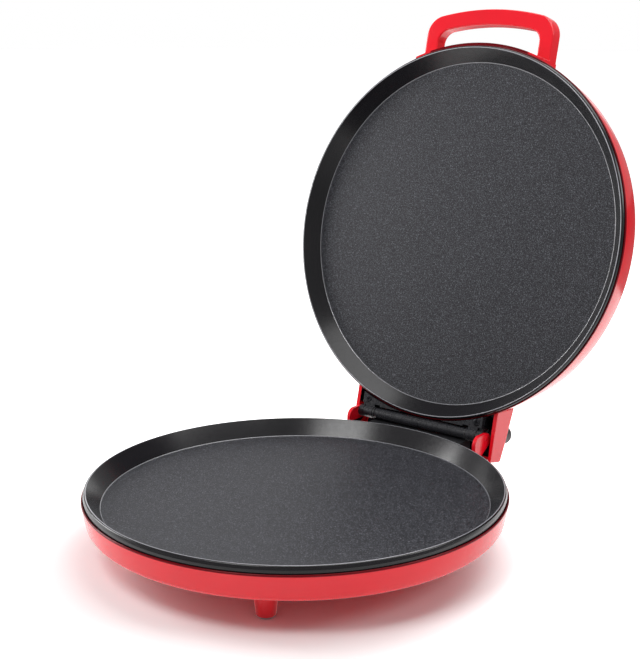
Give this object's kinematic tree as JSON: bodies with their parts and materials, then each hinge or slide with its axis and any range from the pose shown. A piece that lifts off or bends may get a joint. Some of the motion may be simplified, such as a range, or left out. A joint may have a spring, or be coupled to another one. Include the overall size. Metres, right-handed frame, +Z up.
{
  "type": "electric pizza maker",
  "caption": "Round countertop cooker with a shallow non-stick pan in each half, a lid hinged at the back and held open past upright, a loop handle and tapered feet.",
  "frame": {"origin": "centre of the lower pan's cooking floor, on its upper face", "axes": "+Z up out of the cooking floor, +Y from the front towards the hinge, +X to the right seen from the front; the lid stands open on its stop"},
  "size_m": [0.3382, 0.4556, 0.4216],
  "materials": {
    "red_enamel": "glossy enamel",
    "nonstick": "satin black non-stick coating, speckled floor",
    "red_plastic": "glossy",
    "grey_rubber": "matte",
    "black_rubber": "matte",
    "black_metal": "satin black",
    "black_plastic": "satin",
    "black_screw": "blackened",
    "shield_aluminium": "bare",
    "ceramic": "glazed",
    "red_lens": "clear tinted",
    "green_lens": "clear tinted",
    "fuse_sleeve": "woven sleeve",
    "steel": "zinc plated"
  },
  "bodies": {
    "base": {"base_heat_shield": "shield_aluminium", "base_heater": "steel", "base_heater_clip_1": "steel", "base_heater_clip_2": "steel", "base_heater_clip_3": "steel", "base_pan": "nonstick", "base_pan_screws": "steel", "base_shell": "red_enamel", "base_terminal_block": "ceramic", "block_screw_left": "steel", "block_screw_right": "steel", "ear_screw_left": "steel", "ear_screw_right": "steel", "foot_front_left": "red_plastic", "foot_front_right": "red_plastic", "foot_pad_front_left": "grey_rubber", "foot_pad_front_right": "grey_rubber", "foot_pad_rear_left": "grey_rubber", "foot_pad_rear_right": "grey_rubber", "foot_rear_left": "red_plastic", "foot_rear_right": "red_plastic", "foot_screws": "steel", "hinge_barrel_left": "black_metal", "hinge_barrel_right": "black_metal", "hinge_block": "black_plastic", "hinge_ear_left": "red_plastic", "hinge_ear_right": "red_plastic", "hinge_pin": "steel", "hinge_stop_left": "black_metal", "hinge_stop_right": "black_metal", "hinge_washer_left": "black_plastic", "hinge_washer_right": "black_plastic"},
    "lid": {"cord_gland": "black_rubber", "handle_screw_left": "steel", "handle_screw_right": "steel", "hinge_cover": "red_plastic", "hinge_plate_left": "black_metal", "hinge_plate_right": "black_metal", "lamp_holder": "black_plastic", "lid_handle": "red_plastic", "lid_heat_shield": "shield_aluminium", "lid_heater": "steel", "lid_heater_clip_1": "steel", "lid_heater_clip_2": "steel", "lid_heater_clip_3": "steel", "lid_pan": "nonstick", "lid_pan_clip_1": "steel", "lid_pan_clip_2": "steel", "lid_pan_clip_3": "steel", "lid_shell": "red_enamel", "lid_terminal_block": "ceramic", "plate_screw_left": "black_screw", "plate_screw_right": "black_screw", "power_lens": "red_lens", "ready_lens": "green_lens", "thermal_fuse": "fuse_sleeve", "thermostat": "ceramic"}
  },
  "joints": [
    {"name": "lid_hinge", "type": "hinge", "parent": "base", "child": "lid", "pos_m": [0, 0.1736, 0.01876], "axis": [1, 0, 0], "range_deg": [0, 103.36]}
  ]
}
